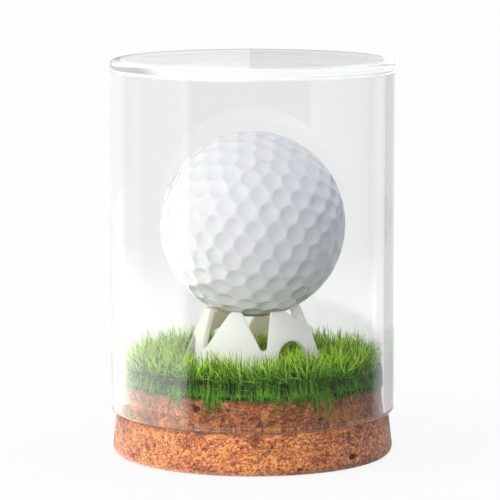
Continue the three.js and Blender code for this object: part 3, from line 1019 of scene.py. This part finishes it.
def dimple_cell(centre, near, ball, steps=4):
    """Points and faces of one dimple in its five or six sided cell, on a ball about the origin."""
    corners = [(centre + one + two).normalized() for one, two in zip(near, near[1:] + near[:1])]
    border = []
    for one, two in zip(corners, corners[1:] + corners[:1]):
        border += [one.lerp(two, step / steps).normalized() for step in range(steps)]
    radius = ball.diameter / 2
    offsets = [point - centre * point.dot(centre) for point in border]
    closest = min(offset.length for offset in offsets)
    points = [centre * (radius - ball.dimple_depth)]
    for part in RING_SHARES:
        for point, offset in zip(border, offsets):
            if part == 1.0:
                spot = point
            else:
                reach = part * (closest + (offset.length - closest) * part**12)
                spot = (centre + offset.normalized() * math.tan(math.asin(reach))).normalized()
            distance = math.asin(min(1.0, (spot - centre * spot.dot(centre)).length)) * radius
            bowl = ball.dimple_depth * (1 - (distance / ball.dimple_radius) ** 2)
            sunk = 0.5 * (bowl + math.sqrt(bowl * bowl + ball.shoulder * ball.shoulder))
            points.append(spot * (radius - sunk))
    number = len(border)
    faces = [(0, 1 + i, 1 + (i + 1) % number) for i in range(number)]
    for ring in range(len(RING_SHARES) - 1):
        low, high = 1 + ring * number, 1 + (ring + 1) * number
        for i in range(number):
            j = (i + 1) % number
            faces.append((low + i, high + i, high + j, low + j))
    return points, faces


def build_ball(ball):
    centres = dimple_centres()
    points, faces = [], []
    for centre in centres:
        cell_points, cell_faces = dimple_cell(centre, neighbours_in_order(centre, centres), ball)
        first = len(points)
        points += cell_points
        faces += [tuple(first + i for i in face) for face in cell_faces]
    middle = (BALL_LOW.z + BALL_HIGH.z) / 2
    raised = Matrix.Translation((0, 0, middle))
    place = raised @ ball.turns.to_matrix().to_4x4()
    mesh = bpy.data.meshes.new("ball_cover_dimpled")
    mesh.from_pydata([tuple(place @ point) for point in points], [], faces)
    skin = bmesh.new()
    skin.from_mesh(mesh)
    bmesh.ops.remove_doubles(skin, verts=skin.verts, dist=0.002 * MM)
    inner = bmesh.ops.create_icosphere(
        skin, subdivisions=5, radius=ball.diameter / 2 - ball.cover, matrix=raised
    )
    inner_faces = {face for vertex in inner["verts"] for face in vertex.link_faces}
    bmesh.ops.reverse_faces(skin, faces=list(inner_faces))
    skin.to_mesh(mesh)
    skin.free()
    mesh.shade_smooth()
    add_piece(mesh, paint_material(ball), "ball", "ball_cover", "ball_cover_lower", "ball_cover_upper")


def paint_material(ball):
    material, tree, shader = new_material(
        "glossy_white_paint",
        Roughness=0.3,
        Coat_Weight=0.8,
        Coat_Roughness=0.12,
        Subsurface_Weight=0.08,
        Subsurface_Scale=0.8 * MM,
    )
    place = object_place(tree)
    drift = ranged(tree, cloudy(tree, place, 90.0, 2.0), 0.35, 0.65)
    paint(tree, shader, mixed(tree, drift, tuple(0.985 * part for part in ball.paint), tuple(ball.paint)))
    bump(tree, shader, cloudy(tree, place, 2600.0, 2.0), 0.01 * MM, 0.2)
    return material


# Solids that keep their own shape


def dress_solids():
    backing, tree, shader = new_material("latex_backing", Roughness=0.8, Specular_IOR_Level=0.3)
    place = object_place(tree)
    tone = ranged(tree, cloudy(tree, place, 900.0, 3.0), 0.35, 0.65)
    paint(tree, shader, mixed(tree, tone, (0.012, 0.02, 0.010), (0.035, 0.055, 0.025)))
    bump(tree, shader, cloudy(tree, place, 2200.0, 2.0), 0.08 * MM, 0.7)

    core, tree, shader = new_material("moulded_rubber", Roughness=0.7, Specular_IOR_Level=0.3)
    place = object_place(tree)
    tone = ranged(tree, cloudy(tree, place, 500.0, 3.0), 0.35, 0.65)
    paint(tree, shader, mixed(tree, tone, (0.24, 0.30, 0.07), (0.33, 0.40, 0.11)))
    bump(tree, shader, cloudy(tree, place, 1800.0, 2.0), 0.05 * MM, 0.5)

    for node, material in (("turf_backing", backing), ("ball_core", core)):
        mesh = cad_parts[node].data
        mesh.materials.clear()
        mesh.materials.append(material)


# Studio

# Soft lights in the surroundings: azimuth from and to, height above the horizon from and to,
# softness of both, colour. In degrees; azimuth 0 is in front and 90 on the right.
STUDIO_LIGHTS = (
    ((-150, -95), (2, 52), (12, 3), (1.35, 1.35, 1.33)),
    ((-95, -28), (2, 52), (12, 3), (2.55, 2.52, 2.48)),
    ((-28, 12), (3, 55), (12, 4), (1.6, 1.63, 1.7)),
    ((12, 60), (14, 55), (12, 8), (0.86, 0.97, 1.16)),
    ((60, 130), (10, 55), (12, 6), (0.96, 1.06, 1.32)),
    ((-200, -150), (3.3, 55), (12, 3), (1.0, 1.0, 0.98)),
    ((130, 200), (3.3, 55), (12, 3), (0.8, 0.8, 0.8)),
    ((-200, 200), (55, 90), (1, 14), (1.3, 1.3, 1.3)),
)
# Light from everywhere
AMBIENT = (0.10, 0.10, 0.11)
# What only shows mirrored, below the horizon
MIRRORED_LIGHTS = (
    ((-154, -58.5), (-7.9, 0), (0.6, 0.7), (0.95, 0.94, 0.92)),
    ((-154, -58.5), (-90, -7.9), (0.6, 0.7), (2.5, 2.5, 2.4)),
    ((-58.5, -54), (-90, 0), (0.6, 0.7), (1.35, 1.35, 1.33)),
    ((-190, -154), (-90, 0), (1, 1), (1.0, 1.0, 1.0)),
    ((165, 190), (-90, 0), (3, 1), (1.0, 1.0, 1.0)),
    ((119, 165), (-90, 0), (3, 1), (0.5, 0.5, 0.51)),
    ((-54, 165), (-90, 0), (1, 1), (0.06, 0.06, 0.065)),
)


def straight_view(tree):
    """1 where the eye looks straight at the surroundings or through clear glass, otherwise 0."""
    light = put(tree, "ShaderNodeLightPath").outputs
    bounces = calc(tree, "SUBTRACT", light["Ray Depth"], light["Transmission Depth"])
    return calc(tree, "LESS_THAN", bounces, 0.5)


def light_zone(tree, azimuth, height, zone):
    (left, right), (low, high), (side_soft, height_soft), tone = zone
    inside = ranged(tree, azimuth, left - side_soft, left + side_soft)
    inside = calc(tree, "MULTIPLY", inside, ranged(tree, azimuth, right + side_soft, right - side_soft))
    inside = calc(tree, "MULTIPLY", inside, ranged(tree, height, low - height_soft, low + height_soft))
    inside = calc(tree, "MULTIPLY", inside, ranged(tree, height, high + height_soft, high - height_soft))
    return scaled(tree, tone, inside)


def build_surroundings():
    world = bpy.data.worlds.new("soft_studio_light")
    bpy.context.scene.world = world
    world.use_nodes = True
    tree = world.node_tree
    tree.nodes.clear()
    part = parts_of(tree, put(tree, "ShaderNodeTexCoord").outputs["Generated"])
    azimuth = calc(tree, "DEGREES", calc(tree, "ARCTAN2", part[0], calc(tree, "MULTIPLY", part[1], -1.0)))
    height = calc(tree, "DEGREES", calc(tree, "ARCSINE", part[2]))
    total = AMBIENT
    for zone in STUDIO_LIGHTS + MIRRORED_LIGHTS:
        total = vector_calc(tree, "ADD", total, light_zone(tree, azimuth, height, zone))
    lights = put(tree, "ShaderNodeBackground", {"Color": total})
    plain = put(tree, "ShaderNodeBackground", {"Color": (1.0, 1.0, 1.0, 1.0)})
    both = {0: straight_view(tree), 1: lights.outputs[0], 2: plain.outputs[0]}
    both = put(tree, "ShaderNodeMixShader", both)
    put(tree, "ShaderNodeOutputWorld", {"Surface": both.outputs[0]})


def floor_material(studio):
    material = bpy.data.materials.new("pale_floor")
    material.use_nodes = True
    material.cycles.emission_sampling = "NONE"
    tree = material.node_tree
    tree.nodes.clear()
    light = put(tree, "ShaderNodeLightPath").outputs
    soft = put(tree, "ShaderNodeBsdfDiffuse", {"Color": (0.09, 0.09, 0.09, 1.0)})
    glow = put(tree, "ShaderNodeEmission", {"Color": (1.0, 1.0, 1.0, 1.0), "Strength": 0.86})
    seen = put(tree, "ShaderNodeAddShader", {0: soft.outputs[0], 1: glow.outputs[0]})
    tone = (studio.floor, studio.floor, studio.floor, 1.0)
    aside = vector_calc(tree, "DOT_PRODUCT", object_place(tree), (0.9, 0.43, 0.0))
    spill = ranged(tree, aside, -60 * MM, 25 * MM, studio.spill, 0.0)
    spill = put(tree, "ShaderNodeEmission", {"Color": (1.0, 1.0, 1.0, 1.0), "Strength": spill})
    lit = put(tree, "ShaderNodeBsdfDiffuse", {"Color": tone})
    lit = put(tree, "ShaderNodeAddShader", {0: lit.outputs[0], 1: spill.outputs[0]})
    pale = put(tree, "ShaderNodeMixShader", {0: straight_view(tree), 1: lit.outputs[0], 2: seen.outputs[0]})
    mirrored = calc(tree, "GREATER_THAN", light["Glossy Depth"], 0.5)
    mirrored = calc(tree, "MULTIPLY", mirrored, calc(tree, "LESS_THAN", light["Diffuse Depth"], 0.5))
    clear = put(tree, "ShaderNodeBsdfTransparent")
    both = put(tree, "ShaderNodeMixShader", {0: mirrored, 1: pale.outputs[0], 2: clear.outputs[0]})
    put(tree, "ShaderNodeOutputMaterial", {"Surface": both.outputs[0]})
    return material


def build_studio(studio):
    build_surroundings()
    reach, depth = 6.0, 0.02 * MM
    signs = ((-1, -1), (1, -1), (1, 1), (-1, 1))
    corners = [(x * reach, y * reach, -depth) for x, y in signs]
    mesh = mesh_from("pale_floor", corners, [(0, 1, 2, 3)], smooth=False)
    floor = bpy.data.objects.new("pale_floor", mesh)
    floor.data.materials.append(floor_material(studio))
    bpy.context.scene.collection.objects.link(floor)

    camera = bpy.data.objects.new("camera", bpy.data.cameras.new("camera"))
    bpy.context.scene.collection.objects.link(camera)
    camera.data.lens = studio.focal_length
    camera.data.sensor_width = 36.0
    camera.data.clip_start, camera.data.clip_end = 0.01, 50.0
    camera.location = (studio.camera_aside, -studio.distance, studio.camera_height)
    camera.rotation_euler = (math.pi / 2 - studio.pitch, 0, 0)
    bpy.context.scene.camera = camera
    bpy.context.scene.view_settings.view_transform = "Standard"


# Operators


class DISPLAYCASE_OT_dome(bpy.types.Operator):
    """Builds the clear glass dome that lifts off the cork"""

    bl_idname = "display_case.dome"
    bl_label = "Glass Dome"

    def execute(self, context):
        build_dome(context.scene.display_case.dome)
        return {"FINISHED"}


class DISPLAYCASE_OT_cork(bpy.types.Operator):
    """Builds the cork base with its granules, cracks and pits"""

    bl_idname = "display_case.cork"
    bl_label = "Cork Base"

    def execute(self, context):
        build_cork(context.scene.display_case.cork)
        return {"FINISHED"}


class DISPLAYCASE_OT_lawn(bpy.types.Operator):
    """Builds the tufted cloth and its blades"""

    bl_idname = "display_case.lawn"
    bl_label = "Lawn"

    def execute(self, context):
        case = context.scene.display_case
        build_lawn(case.lawn, case.stand)
        return {"FINISHED"}


class DISPLAYCASE_OT_stand(bpy.types.Operator):
    """Builds the moulded stand with its rounded edges"""

    bl_idname = "display_case.stand"
    bl_label = "Ball Stand"

    def execute(self, context):
        build_stand(context.scene.display_case.stand)
        return {"FINISHED"}


class DISPLAYCASE_OT_ball(bpy.types.Operator):
    """Builds the ball's dimpled cover"""

    bl_idname = "display_case.ball"
    bl_label = "Golf Ball"

    def execute(self, context):
        build_ball(context.scene.display_case.ball)
        return {"FINISHED"}


class DISPLAYCASE_OT_solids(bpy.types.Operator):
    """Gives the lawn's backing and the ball's core their finishes"""

    bl_idname = "display_case.solids"
    bl_label = "Backing and Core"

    def execute(self, context):
        dress_solids()
        return {"FINISHED"}


class DISPLAYCASE_OT_studio(bpy.types.Operator):
    """Builds the floor, the soft light and the camera"""

    bl_idname = "display_case.studio"
    bl_label = "Studio"

    def execute(self, context):
        build_studio(context.scene.display_case.studio)
        return {"FINISHED"}


OPERATORS = (
    DISPLAYCASE_OT_studio,
    DISPLAYCASE_OT_dome,
    DISPLAYCASE_OT_cork,
    DISPLAYCASE_OT_lawn,
    DISPLAYCASE_OT_stand,
    DISPLAYCASE_OT_ball,
    DISPLAYCASE_OT_solids,
)


class DISPLAYCASE_PT_panel(bpy.types.Panel):
    """Sizes, colours and builders of the display case"""

    bl_idname = "DISPLAYCASE_PT_panel"
    bl_label = "Display Case"
    bl_space_type = "VIEW_3D"
    bl_region_type = "UI"
    bl_category = "Display Case"

    def draw(self, context):
        case = context.scene.display_case
        for operator in OPERATORS:
            part = operator.bl_idname.split(".")[1]
            box = self.layout.box()
            box.operator(operator.bl_idname)
            settings = getattr(case, part, None)
            for name in settings.__annotations__ if settings else ():
                box.prop(settings, name)


CLASSES = (
    DomeSettings,
    CorkSettings,
    LawnSettings,
    StandSettings,
    BallSettings,
    StudioSettings,
    CaseSettings,
    *OPERATORS,
    DISPLAYCASE_PT_panel,
)


def register():
    for item in CLASSES:
        bpy.utils.register_class(item)
    bpy.types.Scene.display_case = PointerProperty(type=CaseSettings)


def unregister():
    del bpy.types.Scene.display_case
    for item in reversed(CLASSES):
        bpy.utils.unregister_class(item)


def main():
    register()
    for operator in OPERATORS:
        group, name = operator.bl_idname.split(".")
        getattr(getattr(bpy.ops, group), name)()


if __name__ == "__main__":
    main()
